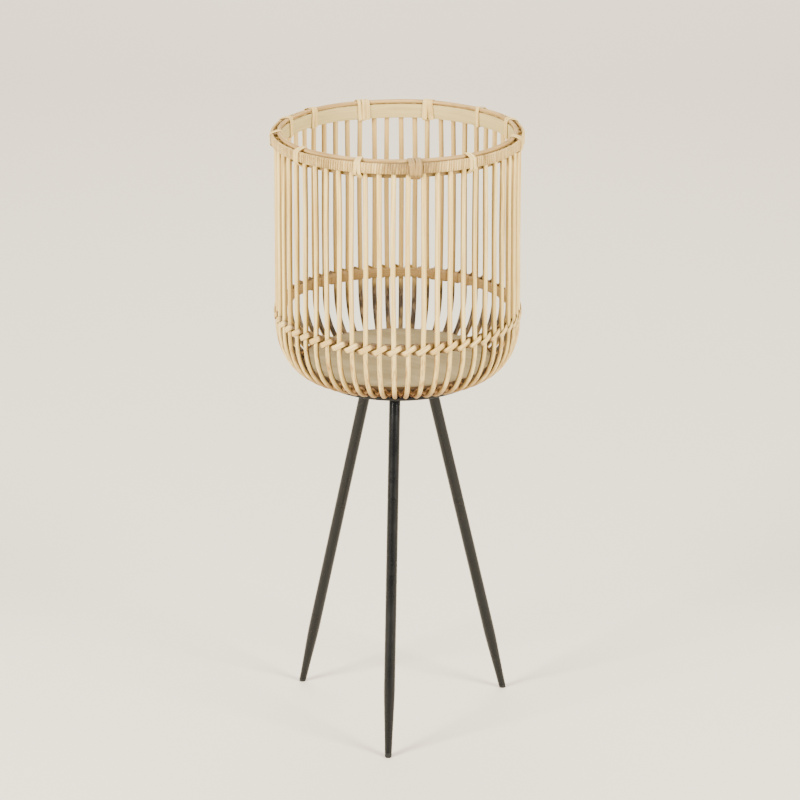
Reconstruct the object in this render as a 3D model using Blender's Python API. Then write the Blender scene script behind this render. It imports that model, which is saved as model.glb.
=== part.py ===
"""Round cane basket on a three-legged steel stand, built as separate pieces.

The basket is a ring of bent cane uprights held by a rim, a middle hoop and a
woven base, with a plywood board as its floor. It sits on a round steel plate
with three sockets, and three tapered legs screw into them. Metres, +Z up,
front towards -Y.
"""

import math

import bmesh
import bpy
from mathutils import Vector

MM = 0.001

# Uprights: bent canes, two neighbours made from one length
UPRIGHT_COUNT = 54
UPRIGHT_PHASE_DEG = 5.2
UPRIGHT_RADIUS = 3.1
UPRIGHT_SIDES = 6
UPRIGHT_TOP_Z = 735.2
UPRIGHT_TOP_R = 142.2
BEND_TOP_Z = 508.0
BEND_TOP_R = 143.1
BEND_END_Z = 442.0
BEND_END_R = 90.0
BEND_POWER = 2.15
BEND_STEPS_DEG = (0.0, 17.0, 34.0, 50.0, 64.0, 77.0, 90.0)
UPRIGHT_END_R = 78.0

# Rim: inner band, outer wrapped hoop, top cane
BAND_INNER_R, BAND_OUTER_R = 135.9, 138.7
BAND_LOW_Z, BAND_TOP_Z = 718.0, 735.2
HOOP_INNER_R, HOOP_OUTER_R = 145.7, 148.9
HOOP_LOW_Z, HOOP_TOP_Z = 725.3, 737.6
HOOP_EDGE = 1.7
CANE_R, CANE_Z, CANE_SECTION_R = 139.0, 738.1, 2.45
RING_STEPS = 72

# Rim lashings: angles from the front, anticlockwise seen from below
LASHING_DEG = (8.55, 35.2, 75.2, 108.5, 135.2, 161.9, 195.2, 228.5, 248.5, 275.2, 308.5, 341.9)
LASHING_WIDTH = 8.6
LASHING_THICKNESS = 0.6
LASHING_LOOP = (
    (134.9, 717.2), (134.9, 735.9), (136.2, 740.4), (138.8, 741.3),
    (141.8, 740.6), (149.55, 738.3), (149.55, 724.6), (146.0, 722.6), (139.6, 717.2),
)

# Middle hoop and the strip that ties it to the uprights. The hoop is tied a little
# lower at the front than at the back, by MID_TILT either side of the heights given.
MID_INNER_R, MID_OUTER_R = 135.9, 139.3
MID_LOW_Z, MID_TOP_Z = 511.7, 523.3
MID_TILT = 5.0
TIE_WIDTH, TIE_THICKNESS = 4.6, 0.8
TIE_TURN = (
    # share of a pitch, radius, height, normal along the radius, normal along Z
    (-0.42, 146.6, 513.9, 1.0, 0.0),
    (0.0, 147.3, 518.5, 1.0, 0.0),
    (0.42, 146.6, 523.1, 1.0, 0.0),
    (0.5, 140.5, 524.5, 0.2, 1.0),
    (0.5, 134.9, 524.5, -0.7, 0.7),
    (0.5, 134.9, 510.5, -0.7, -0.7),
    (0.5, 140.5, 510.5, 0.1, -1.0),
)

# Base rows: they lie on the inner side of the uprights and are pressed down between them.
# Heights are those of the uprights' centre line, offsets run inwards from it.
WEAVE_ROWS = (("lower", 446.5), ("upper", 451.5))
WEAVE_OFFSET = 4.9
WEAVE_HALF_STEP = 2.2
WEAVE_SECTION_R = 1.5

# Floor board, stepped so that its lower part sits on the upright ends
BOARD_R, BOARD_LOWER_R = 112.0, 97.0
BOARD_TOP_Z, BOARD_STEP_Z, BOARD_LOW_Z = 458.5, 454.5, 446.3
BOARD_EDGE = 0.6

# Steel plate
PLATE_R = 92.3
PLATE_LOW_Z, PLATE_TOP_Z = 433.8, 438.5
PLATE_EDGE = 0.8
DISC_STEPS = 72

# Screws through the plate into the board
SCREW_CIRCLE_R = 62.0
SCREW_DEG = (55.53, 175.53, 295.53)
SCREW_R, SCREW_HEAD_R, SCREW_CROWN_R, SCREW_HEAD_H = 1.8, 4.0, 2.4, 2.4
SCREW_TIP_Z, SCREW_TIP_LENGTH, SCREW_POINT_R = 455.0, 4.0, 0.4
SCREW_SIDES = 10
SCREW_HOLE_R, SCREW_HOLE_SIDES = 2.3, 16
SCREW_HOLE_LOW_Z, SCREW_HOLE_TOP_Z = 431.8, 456.0
FIT_GAP = 0.35

# Legs
LEG_NAMES = ("front", "right", "left")
LEG_DEG = (-4.47, 115.53, 235.53)
LEG_TOP_R, LEG_FOOT_R = 40.2, 146.0
LEG_RADIUS, LEG_TIP_RADIUS = 6.7, 4.3
LEG_TAPER = 74.0
LEG_SIDES = 16
SOCKET_R, SOCKET_BORE_R, SOCKET_LENGTH = 8.0, 4.4, 13.0
STUD_R, STUD_LENGTH, STUD_CHAMFER = 3.9, 10.5, 0.5
SHOULDER_CHAMFER = 0.4
GLIDE_LENGTH, GLIDE_RISE, GLIDE_EDGE = 5.0, 0.9, 0.15
GLIDE_FLAT_R = 3.0


def polar(radius, angle_deg, height):
    """Point at a radius in mm and an angle from the front, in metres."""
    angle = math.radians(angle_deg)
    return Vector((radius * math.sin(angle), -radius * math.cos(angle), height)) * MM


def radial(angle_deg):
    """Unit vector that points outwards at an angle from the front."""
    angle = math.radians(angle_deg)
    return Vector((math.sin(angle), -math.cos(angle), 0.0))


def clear_scene():
    """Remove every object that the scene starts with."""
    for item in list(bpy.data.objects):
        bpy.data.objects.remove(item, do_unlink=True)


def make_material(name, rgb, roughness, metallic=0.0):
    """Principled material from an 8-bit sRGB colour."""
    material = bpy.data.materials.new(name)
    material.use_nodes = True
    shader = material.node_tree.nodes["Principled BSDF"]
    linear = [
        (c / 255 / 12.92) if c <= 10 else ((c / 255 + 0.055) / 1.055) ** 2.4 for c in rgb
    ]
    shader.inputs["Base Color"].default_value = (*linear, 1.0)
    shader.inputs["Roughness"].default_value = roughness
    shader.inputs["Metallic"].default_value = metallic
    material.diffuse_color = (*linear, 1.0)
    return material


def add_body(name, points, faces, material, origin=None, sharp_deg=40.0):
    """Make one closed body with outward faces, smooth where it is round."""
    centre = origin if origin is not None else Vector((0.0, 0.0, 0.0))
    mesh = bpy.data.meshes.new(name)
    mesh.from_pydata([p - centre for p in points], [], faces)
    work = bmesh.new()
    work.from_mesh(mesh)
    bmesh.ops.recalc_face_normals(work, faces=work.faces)
    work.to_mesh(mesh)
    work.free()
    for polygon in mesh.polygons:
        polygon.use_smooth = True
    mesh.set_sharp_from_angle(angle=math.radians(sharp_deg))
    mesh.materials.append(material)
    body = bpy.data.objects.new(name, mesh)
    body.location = centre
    bpy.context.scene.collection.objects.link(body)
    return body


def skin(rings, closed):
    """Faces over a row of rings that all have the same number of points."""
    count = len(rings[0])
    points = [p for ring in rings for p in ring]
    faces = []
    spans = len(rings) if closed else len(rings) - 1
    for i in range(spans):
        a, b = i * count, ((i + 1) % len(rings)) * count
        for j in range(count):
            k = (j + 1) % count
            faces.append((a + j, a + k, b + k, b + j))
    if not closed:
        faces.append(tuple(range(count)))
        faces.append(tuple(range(len(points) - count, len(points))))
    return points, faces


def round_section(radius, sides):
    """Corners of a round section about its centre line, in mm."""
    step = 2.0 * math.pi / sides
    return [
        (radius * math.cos((i + 0.5) * step), radius * math.sin((i + 0.5) * step))
        for i in range(sides)
    ]


def mitred_tube(path, radius, sides, side_hint):
    """Rings of a tube along an open path, mitred at each bend."""
    step = (path[1] - path[0]).normalized()
    across = (side_hint - step * side_hint.dot(step)).normalized()
    other = step.cross(across)
    section = round_section(radius * MM, sides)
    rings = [[path[0] + across * a + other * b for a, b in section]]
    for i in range(1, len(path)):
        into = (path[i] - path[i - 1]).normalized()
        out = (path[i + 1] - path[i]).normalized() if i + 1 < len(path) else into
        plane = (into + out).normalized()
        rings.append([
            p + into * ((path[i] - p).dot(plane) / into.dot(plane)) for p in rings[-1]
        ])
    return rings


def swept_loop(path, normals, section):
    """Rings of a section carried round a closed path, held by given normals."""
    rings = []
    for i, point in enumerate(path):
        along = (path[(i + 1) % len(path)] - path[i - 1]).normalized()
        across = along.cross(normals[i]).normalized()
        outward = across.cross(along)
        rings.append([point + outward * (a * MM) + across * (b * MM) for a, b in section])
    return rings


def ring_body(name, section, material, steps=RING_STEPS, sharp_deg=40.0):
    """Hoop about the Z axis from a section of (radius, height) corners."""
    rings = [[polar(r, 360.0 * i / steps, z) for r, z in section] for i in range(steps)]
    return add_body(name, *skin(rings, closed=True), material, sharp_deg=sharp_deg)


def disc_body(name, profile, material):
    """Solid disc about the Z axis from its edge profile, bottom to top."""
    rings = [
        [polar(r, 360.0 * i / DISC_STEPS, z) for i in range(DISC_STEPS)] for r, z in profile
    ]
    return add_body(name, *skin(rings, closed=False), material)


def cut(body, cutter):
    """Subtract a hidden cutter from a body."""
    cutter.hide_render = True
    cutter.display_type = "WIRE"
    modifier = body.modifiers.new("hole", "BOOLEAN")
    modifier.operation = "DIFFERENCE"
    modifier.solver = "EXACT"
    modifier.object = cutter


def bend_point(turn_deg):
    """Radius and height of the uprights' centre line along their bend."""
    turn = math.radians(turn_deg)
    power = 2.0 / BEND_POWER
    across = max(math.cos(turn), 0.0) ** power
    down = math.sin(turn) ** power
    radius = BEND_END_R + (BEND_TOP_R - BEND_END_R) * across
    return radius, BEND_TOP_Z - (BEND_TOP_Z - BEND_END_Z) * down


def bend_at_height(height):
    """Radius of the centre line at a height, and its inward normal (radius, Z)."""
    share = (BEND_TOP_Z - height) / (BEND_TOP_Z - BEND_END_Z)
    turn_deg = math.degrees(math.asin(share ** (BEND_POWER / 2.0)))
    radius, _ = bend_point(turn_deg)
    before, after = bend_point(turn_deg - 0.5), bend_point(turn_deg + 0.5)
    along = Vector((after[0] - before[0], after[1] - before[1])).normalized()
    return radius, (along.y, -along.x)


def upright_path(angle_deg):
    """Centre line of one upright from its top to its inner end."""
    path = [polar(UPRIGHT_TOP_R, angle_deg, UPRIGHT_TOP_Z)]
    for turn_deg in BEND_STEPS_DEG:
        radius, height = bend_point(turn_deg)
        path.append(polar(radius, angle_deg, height))
    path.append(polar(UPRIGHT_END_R, angle_deg, BEND_END_Z))
    return path


def build_uprights(material):
    """Pairs of uprights, each bent from one cane that turns back on the plate."""
    pitch = 360.0 / UPRIGHT_COUNT
    for pair in range(UPRIGHT_COUNT // 2):
        first = UPRIGHT_PHASE_DEG + 2 * pair * pitch
        path = upright_path(first) + upright_path(first + pitch)[::-1]
        rings = mitred_tube(path, UPRIGHT_RADIUS, UPRIGHT_SIDES, radial(first))
        name = f"upright_pair_{pair + 1:02d}"
        add_body(name, *skin(rings, closed=False), material, sharp_deg=62.0)


def build_rim(band_material, hoop_material, cane_material):
    """Inner band, wrapped outer hoop and the cane that covers the ends."""
    ring_body("rim_band", [
        (BAND_INNER_R, BAND_LOW_Z), (BAND_OUTER_R, BAND_LOW_Z),
        (BAND_OUTER_R, BAND_TOP_Z), (BAND_INNER_R, BAND_TOP_Z),
    ], band_material)
    flat = 0.8
    ring_body("rim_hoop", [
        (HOOP_INNER_R, HOOP_LOW_Z + HOOP_EDGE), (HOOP_INNER_R + flat, HOOP_LOW_Z),
        (HOOP_OUTER_R - flat, HOOP_LOW_Z), (HOOP_OUTER_R, HOOP_LOW_Z + HOOP_EDGE),
        (HOOP_OUTER_R, HOOP_TOP_Z - HOOP_EDGE), (HOOP_OUTER_R - flat, HOOP_TOP_Z),
        (HOOP_INNER_R + flat, HOOP_TOP_Z), (HOOP_INNER_R, HOOP_TOP_Z - HOOP_EDGE),
    ], hoop_material, sharp_deg=70.0)
    section = [(CANE_R + a, CANE_Z + b) for a, b in round_section(CANE_SECTION_R, 8)]
    ring_body("rim_cane", section, cane_material, sharp_deg=62.0)


def build_rim_lashings(lashing_material, joint_material):
    """Short straps that tie the cane, the band and the hoop together."""
    middle = Vector((142.0, 730.0))
    half = LASHING_WIDTH / 2
    side = LASHING_THICKNESS / 2
    section = [(-side, -half), (side, -half), (side, half), (-side, half)]
    for index, angle_deg in enumerate(LASHING_DEG):
        outward = radial(angle_deg)
        path = [polar(r, angle_deg, z) for r, z in LASHING_LOOP]
        normals = []
        for r, z in LASHING_LOOP:
            away = Vector((r, z)) - middle
            normals.append((outward * away.x + Vector((0.0, 0.0, away.y))).normalized())
        name = "rim_joint_wrap" if index == 0 else f"rim_lashing_{index:02d}"
        material = joint_material if index == 0 else lashing_material
        rings = swept_loop(path, normals, section)
        add_body(name, *skin(rings, closed=True), material)


def tilted(radius, angle_deg, height):
    """Point on the middle hoop, which sits lower at the front than at the back."""
    return polar(radius, angle_deg, height - MID_TILT * math.cos(math.radians(angle_deg)))


def build_middle(hoop_material, tie_material):
    """Hoop inside the uprights and the strip wound round it and each upright."""
    corners = (
        (MID_INNER_R, MID_LOW_Z), (MID_OUTER_R, MID_LOW_Z),
        (MID_OUTER_R, MID_TOP_Z), (MID_INNER_R, MID_TOP_Z),
    )
    hoop = [[tilted(r, 360.0 * i / RING_STEPS, z) for r, z in corners] for i in range(RING_STEPS)]
    add_body("mid_hoop", *skin(hoop, closed=True), hoop_material)
    pitch = 360.0 / UPRIGHT_COUNT
    path, normals = [], []
    for turn in range(UPRIGHT_COUNT):
        for share, radius, height, out, up in TIE_TURN:
            angle_deg = UPRIGHT_PHASE_DEG + (turn + share) * pitch
            path.append(tilted(radius, angle_deg, height))
            normals.append((radial(angle_deg) * out + Vector((0.0, 0.0, up))).normalized())
    half, side = TIE_WIDTH / 2, TIE_THICKNESS / 2
    section = [(-side, -half), (side, -half), (side, half), (-side, half)]
    rings = swept_loop(path, normals, section)
    add_body("mid_lashing", *skin(rings, closed=True), tie_material, sharp_deg=75.0)


def build_weave(material):
    """Two rows of thin cane laid over the uprights and pressed down between them."""
    pitch = 360.0 / UPRIGHT_COUNT
    section = round_section(WEAVE_SECTION_R, 6)
    for label, height in WEAVE_ROWS:
        radius, (inward_r, inward_z) = bend_at_height(height)
        step = math.degrees(WEAVE_HALF_STEP / radius) / pitch
        path, normals = [], []
        for index in range(UPRIGHT_COUNT):
            for share, offset in ((-step, WEAVE_OFFSET), (step, WEAVE_OFFSET), (0.5, 0.0)):
                angle_deg = UPRIGHT_PHASE_DEG + (index + share) * pitch
                path.append(polar(radius + inward_r * offset, angle_deg, height + inward_z * offset))
                normals.append(radial(angle_deg) * inward_r + Vector((0.0, 0.0, inward_z)))
        rings = swept_loop(path, normals, section)
        add_body(f"base_weave_{label}", *skin(rings, closed=True), material, sharp_deg=75.0)


def build_floor(board_material, plate_material, screw_material):
    """Plywood board, steel plate and the screws that hold them together."""
    board = disc_body("base_board", [
        (BOARD_LOWER_R, BOARD_LOW_Z), (BOARD_LOWER_R, BOARD_STEP_Z),
        (BOARD_R, BOARD_STEP_Z), (BOARD_R, BOARD_TOP_Z - BOARD_EDGE),
        (BOARD_R - BOARD_EDGE, BOARD_TOP_Z),
    ], board_material)
    plate = disc_body("stand_plate", [
        (PLATE_R - PLATE_EDGE, PLATE_LOW_Z), (PLATE_R, PLATE_LOW_Z + PLATE_EDGE),
        (PLATE_R, PLATE_TOP_Z - PLATE_EDGE), (PLATE_R - PLATE_EDGE, PLATE_TOP_Z),
    ], plate_material)
    head_top = PLATE_LOW_Z - FIT_GAP
    screw_profile = [
        (SCREW_CROWN_R, head_top - SCREW_HEAD_H), (SCREW_HEAD_R, head_top - SCREW_HEAD_H / 2),
        (SCREW_HEAD_R, head_top), (SCREW_R, head_top),
        (SCREW_R, SCREW_TIP_Z - SCREW_TIP_LENGTH), (SCREW_POINT_R, SCREW_TIP_Z),
    ]
    hole_profile = [(SCREW_HOLE_R, SCREW_HOLE_LOW_Z), (SCREW_HOLE_R, SCREW_HOLE_TOP_Z)]
    for index, angle_deg in enumerate(SCREW_DEG):
        centre = polar(SCREW_CIRCLE_R, angle_deg, 0.0)
        rings = [level_ring(centre, r, z, SCREW_SIDES) for r, z in screw_profile]
        add_body(f"base_screw_{index + 1}", *skin(rings, closed=False), screw_material)
        bore = [level_ring(centre, r, z, SCREW_HOLE_SIDES) for r, z in hole_profile]
        cutter = add_body(f"screw_hole_{index + 1}", *skin(bore, closed=False), plate_material)
        cut(board, cutter)
        cut(plate, cutter)


def level_ring(centre, radius, height, sides):
    """Level ring of points about the vertical line through a centre."""
    return [
        centre + Vector((a * MM, b * MM, height * MM)) for a, b in round_section(radius, sides)
    ]


class LegAxis:
    """Line of one leg, from the plate's underside to the middle of its foot."""

    def __init__(self, angle_deg):
        self.outward = radial(angle_deg)
        self.start = polar(LEG_TOP_R, angle_deg, PLATE_LOW_Z)
        self.foot = polar(LEG_FOOT_R, angle_deg, 0.0)
        self.axis = (self.foot - self.start).normalized()
        self.across = (self.outward - self.axis * self.outward.dot(self.axis)).normalized()
        self.other = self.axis.cross(self.across)
        self.length = (self.foot - self.start).length / MM

    def ring(self, radius, along):
        """Ring about the leg's axis at a distance below its start."""
        centre = self.start + self.axis * (along * MM)
        return [
            centre + self.across * (a * MM) + self.other * (b * MM)
            for a, b in round_section(radius, LEG_SIDES)
        ]

    def at_level(self, points, height):
        """Points carried along the leg's axis to one height."""
        return [p + self.axis * ((height * MM - p.z) / self.axis.z) for p in points]


def build_legs(steel, socket_steel, plastic):
    """Angled sockets, tapered legs with studs, and glides."""
    for name, angle_deg in zip(LEG_NAMES, LEG_DEG):
        line = LegAxis(angle_deg)
        weld_z = PLATE_LOW_Z - FIT_GAP
        outer = line.ring(SOCKET_R, SOCKET_LENGTH)
        bore = line.ring(SOCKET_BORE_R, SOCKET_LENGTH)
        loops = [outer, line.at_level(outer, weld_z), line.at_level(bore, weld_z), bore]
        add_body(f"leg_socket_{name}", *skin(loops, closed=True), socket_steel)

        shoulder = SOCKET_LENGTH + FIT_GAP
        stud_end = shoulder - STUD_LENGTH
        tip = line.length - GLIDE_LENGTH
        seat = line.start + line.axis * (shoulder * MM)
        leg = [
            line.ring(STUD_R - STUD_CHAMFER, stud_end), line.ring(STUD_R, stud_end + STUD_CHAMFER),
            line.ring(STUD_R, shoulder), line.ring(LEG_RADIUS - SHOULDER_CHAMFER, shoulder),
            line.ring(LEG_RADIUS, shoulder + SHOULDER_CHAMFER), line.ring(LEG_RADIUS, tip - LEG_TAPER),
            line.ring(LEG_TIP_RADIUS, tip),
        ]
        add_body(f"leg_{name}", *skin(leg, closed=False), steel, origin=seat)

        low = line.at_level(line.ring(LEG_TIP_RADIUS - GLIDE_EDGE, line.length), GLIDE_RISE)
        pad = level_ring(line.foot, GLIDE_FLAT_R, 0.0, LEG_SIDES)
        glide = [line.ring(LEG_TIP_RADIUS, tip + FIT_GAP), low, matched(pad, low)]
        add_body(f"glide_{name}", *skin(glide, closed=False), plastic, origin=seat)


def matched(points, guide):
    """Points in the order that keeps each nearest to its guide point."""
    count = len(points)
    best = min(
        ([points[(shift + turn * i) % count] for i in range(count)]
         for shift in range(count) for turn in (1, -1)),
        key=lambda row: sum((p - g).length for p, g in zip(row, guide)),
    )
    return best


def build_stand():
    """Build every piece from the legs up to the rim."""
    black = make_material("powder_coated_steel", (50, 50, 51), 0.45)
    socket = make_material("welded_socket_steel", (46, 46, 47), 0.5)
    plastic = make_material("black_nylon", (34, 34, 34), 0.55)
    zinc = make_material("zinc_plated_screw", (176, 178, 180), 0.35, 1.0)
    ply = make_material("plywood", (190, 175, 150), 0.7)
    weave = make_material("dark_weaving_cane", (92, 62, 38), 0.6)
    upright = make_material("peeled_cane", (232, 214, 172), 0.5)
    mid = make_material("toasted_cane", (185, 150, 105), 0.55)
    tie = make_material("binding_peel", (224, 200, 156), 0.5)
    band = make_material("split_cane_band", (205, 195, 160), 0.55)
    wrap = make_material("wrapped_hoop_peel", (220, 200, 160), 0.5)
    cane = make_material("rim_cane", (196, 152, 112), 0.5)
    joint = make_material("brown_joint_peel", (172, 128, 88), 0.5)
    build_legs(black, socket, plastic)
    build_floor(ply, black, zinc)
    build_weave(weave)
    build_uprights(upright)
    build_middle(mid, tie)
    build_rim(band, wrap, cane)
    build_rim_lashings(tie, joint)


clear_scene()
build_stand()
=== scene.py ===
"""Visual model of a cane basket plant stand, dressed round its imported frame.

The basket has bent cane uprights, a bound rim, a laced middle hoop, a woven
base and a board floor. It stands on a black steel plate with three tapered
legs that screw into angled sockets. Metres, +Z up, front towards -Y.
"""

from __future__ import annotations

import logging
import math
from dataclasses import dataclass, field
from enum import Enum
from typing import Any, Sequence

import bmesh
import bpy
import numpy as np
from bpy.types import Material, Mesh, Node, NodeSocket, Object
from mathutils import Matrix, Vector


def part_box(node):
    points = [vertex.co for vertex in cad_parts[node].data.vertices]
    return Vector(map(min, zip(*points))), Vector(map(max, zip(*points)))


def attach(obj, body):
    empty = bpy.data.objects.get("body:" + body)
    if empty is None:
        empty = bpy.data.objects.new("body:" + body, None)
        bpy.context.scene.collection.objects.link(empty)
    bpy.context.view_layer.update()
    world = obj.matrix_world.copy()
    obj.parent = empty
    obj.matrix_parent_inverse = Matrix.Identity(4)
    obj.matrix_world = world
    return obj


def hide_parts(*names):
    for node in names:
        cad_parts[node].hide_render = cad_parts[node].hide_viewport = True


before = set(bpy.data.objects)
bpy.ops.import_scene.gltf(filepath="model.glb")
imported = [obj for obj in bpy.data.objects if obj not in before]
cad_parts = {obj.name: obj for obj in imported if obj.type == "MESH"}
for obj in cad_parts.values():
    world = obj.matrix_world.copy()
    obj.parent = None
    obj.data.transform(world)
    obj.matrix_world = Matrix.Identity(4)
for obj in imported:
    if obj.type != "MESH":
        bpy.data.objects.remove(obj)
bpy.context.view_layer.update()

LOG = logging.getLogger("plant_stand")
MM = 0.001
BASKET = "stand_and_basket"
UPRIGHTS = 54
PITCH_DEG = 360.0 / UPRIGHTS
PHASE_DEG = 5.2
GRAIN = "grain"
TONE = "tone"
TONE_SHIFT = 37.0
DULL_SHEEN = 0.22
LEVEL = (1.0, 1.0, 0.0)
JOIN_DISTANCE = 0.00004
UP = np.array((0.0, 0.0, 1.0))


# --------------------------------------------------------------- helpers


def polar(radius: float, angle_deg: float, height: float) -> np.ndarray:
    """Point in metres.

    Args:
        radius: Distance from the basket's axis in millimetres.
        angle_deg: Angle from the front, towards +X.
        height: Height above the floor in millimetres.

    Returns:
        The point as an array of three numbers.
    """
    angle = math.radians(angle_deg)
    return np.array((radius * math.sin(angle), -radius * math.cos(angle), height)) * MM


def outward(angle_deg: float) -> np.ndarray:
    """Unit vector away from the axis at an angle from the front."""
    angle = math.radians(angle_deg)
    return np.array((math.sin(angle), -math.cos(angle), 0.0))


def unit(vector: np.ndarray) -> np.ndarray:
    """Vectors along the last axis, scaled to length one."""
    return vector / np.maximum(np.linalg.norm(vector, axis=-1, keepdims=True), 1e-12)


def linear(hex_colour: str) -> tuple[float, float, float, float]:
    """Linear RGBA of an sRGB hex colour such as "c8a878"."""
    parts = [int(hex_colour[i:i + 2], 16) / 255.0 for i in (0, 2, 4)]
    bent = [c / 12.92 if c <= 0.04045 else ((c + 0.055) / 1.055) ** 2.4 for c in parts]
    return (bent[0], bent[1], bent[2], 1.0)


def add_node(tree: Any, kind: str, inputs: dict | None = None, **settings: Any) -> Any:
    """Add a node to a tree.

    Args:
        tree: Shader or geometry tree.
        kind: The node's type name.
        inputs: Socket name or number to a value, or to a socket or node to link from.
        settings: Properties set on the node before its sockets.

    Returns:
        The new node.
    """
    node = tree.nodes.new(kind)
    for key, value in settings.items():
        setattr(node, key, value)
    for key, value in (inputs or {}).items():
        if isinstance(value, Node):
            value = value.outputs[0]
        if isinstance(value, NodeSocket):
            tree.links.new(value, node.inputs[key])
        else:
            node.inputs[key].default_value = value
    return node


def smooth_path(points: np.ndarray, steps: int, closed: bool) -> np.ndarray:
    """Catmull-Rom curve through points.

    Args:
        points: Control points, one row each, with any number of columns.
        steps: Samples between each two control points.
        closed: Whether the last point joins the first.

    Returns:
        The sampled rows.
    """
    count = len(points)
    spans = count if closed else count - 1
    rows = []
    for i in range(spans):
        if closed:
            p0, p1, p2, p3 = (points[(i + k) % count] for k in (-1, 0, 1, 2))
        else:
            p0, p1 = points[max(i - 1, 0)], points[i]
            p2, p3 = points[i + 1], points[min(i + 2, count - 1)]
        for j in range(steps):
            t = j / steps
            rows.append(0.5 * (
                2 * p1 + (p2 - p0) * t + (2 * p0 - 5 * p1 + 4 * p2 - p3) * t * t
                + (3 * p1 - p0 - 3 * p2 + p3) * t ** 3
            ))
    if not closed:
        rows.append(points[-1])
    return np.array(rows)


def place_object(name: str, data: Any) -> Object:
    """Make an object of a mesh, light or camera and put it in the scene."""
    thing = bpy.data.objects.new(name, data)
    bpy.context.scene.collection.objects.link(thing)
    return thing


def new_mesh(
    name: str, points: np.ndarray, faces: Sequence[Sequence[int]],
    edges: Sequence[Sequence[int]] = (), grain: np.ndarray | None = None,
) -> Mesh:
    """Make a mesh.

    Args:
        name: Its name.
        points: Corner positions in metres.
        faces: Corner numbers of each face.
        edges: Corner numbers of loose edges.
        grain: One vector per corner: along, across and out of the fibre, in metres.

    Returns:
        The mesh.
    """
    mesh = bpy.data.meshes.new(name)
    mesh.from_pydata([tuple(p) for p in points], list(edges), [tuple(f) for f in faces])
    if grain is not None:
        layer = mesh.attributes.new(GRAIN, "FLOAT_VECTOR", "POINT")
        layer.data.foreach_set("vector", np.asarray(grain, dtype=np.float32).ravel())
    return mesh


def face_outward(mesh: Mesh) -> None:
    """Turn every face of a closed mesh outward."""
    work = bmesh.new()
    work.from_mesh(mesh)
    bmesh.ops.recalc_face_normals(work, faces=work.faces)
    work.to_mesh(mesh)
    work.free()


def make_piece(
    name: str, points: np.ndarray, faces: Sequence[Sequence[int]], material: Material,
    grain: np.ndarray | None = None, tone: float = 0.5, flat_deg: float = 45.0,
) -> Object:
    """Make a smooth mesh object at the origin.

    Args:
        name: The piece's name.
        points: Corner positions in metres.
        faces: Corner numbers of each face.
        material: Its material.
        grain: Fibre vector of each corner, as in new_mesh.
        tone: Shade of this piece between 0 and 1.
        flat_deg: Edges that turn more than this stay sharp.

    Returns:
        The object.
    """
    mesh = new_mesh(name, points, faces, grain=grain)
    if grain is not None:
        shade = mesh.attributes.new(TONE, "FLOAT", "POINT")
        shade.data.foreach_set("value", np.full(len(points), tone, dtype=np.float32))
    face_outward(mesh)
    mesh.polygons.foreach_set("use_smooth", [True] * len(mesh.polygons))
    mesh.set_sharp_from_angle(angle=math.radians(flat_deg))
    mesh.materials.append(material)
    return place_object(name, mesh)


def grid_faces(rows: int, columns: int, closed: bool, capped: bool) -> list[tuple[int, ...]]:
    """Faces over rings of points.

    Args:
        rows: Number of rings.
        columns: Points in each ring.
        closed: Whether the last ring joins the first.
        capped: Whether each end gets a face.

    Returns:
        Corner numbers of each face.
    """
    faces: list[tuple[int, ...]] = []
    for i in range(rows if closed else rows - 1):
        a, b = i * columns, ((i + 1) % rows) * columns
        for j in range(columns):
            k = (j + 1) % columns
            faces.append((a + j, a + k, b + k, b + j))
    if capped and not closed:
        faces.append(tuple(range(columns)))
        faces.append(tuple(range((rows - 1) * columns, rows * columns)))
    return faces


def carry(
    path: np.ndarray, along: np.ndarray, sides: np.ndarray, section: np.ndarray
) -> tuple[np.ndarray, np.ndarray]:
    """Carry a section along a path.

    Args:
        path: Points in metres.
        along: Direction of the path at each point.
        sides: Outward side at each point.
        section: Corners of the section as (outward, across) in metres.

    Returns:
        Corner positions and their grain vectors, ring by ring.
    """
    across = unit(np.cross(along, sides))
    out = np.cross(across, along)
    points = (
        path[:, None, :] + out[:, None, :] * section[None, :, :1]
        + across[:, None, :] * section[None, :, 1:2]
    )
    steps = np.linalg.norm(np.diff(path, axis=0), axis=1)
    grain = np.empty_like(points)
    grain[..., 0] = np.concatenate(([0.0], np.cumsum(steps)))[:, None]
    grain[..., 1:] = section[None, :, ::-1]
    return points.reshape(-1, 3), grain.reshape(-1, 3)


@dataclass
class Sweep:
    """A section carried along a path that has a stated outward side.

    Attributes:
        path: Points in metres.
        sides: Outward side at each point.
        section: Corners of the section as (outward, across) in metres.
        closed: Whether the path is a loop.
    """

    path: np.ndarray
    sides: np.ndarray
    section: np.ndarray
    closed: bool = False

    def rings(self) -> tuple[np.ndarray, np.ndarray]:
        """Corner positions and their grain vectors, ring by ring."""
        if self.closed:
            along = unit(np.roll(self.path, -1, 0) - np.roll(self.path, 1, 0))
        else:
            along = unit(np.gradient(self.path, axis=0))
        return carry(self.path, along, self.sides, self.section)

    def piece(self, name: str, material: Material, tone: float) -> Object:
        """Make the swept body a piece of its own."""
        points, grain = self.rings()
        faces = grid_faces(len(self.path), len(self.section), self.closed, True)
        return make_piece(name, points, faces, material, grain, tone, flat_deg=60.0)


def strip_section(width: float, thickness: float, crown: float) -> np.ndarray:
    """Section of a peel strip with a rounded back and soft edges, in metres."""
    half = width / 2
    rows = (
        (-thickness / 2, -half * 0.92), (0.0, -half), (thickness / 2, -half * 0.82),
        (thickness / 2 + crown, 0.0), (thickness / 2, half * 0.82), (0.0, half),
        (-thickness / 2, half * 0.92),
    )
    return np.array(rows) * MM


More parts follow.
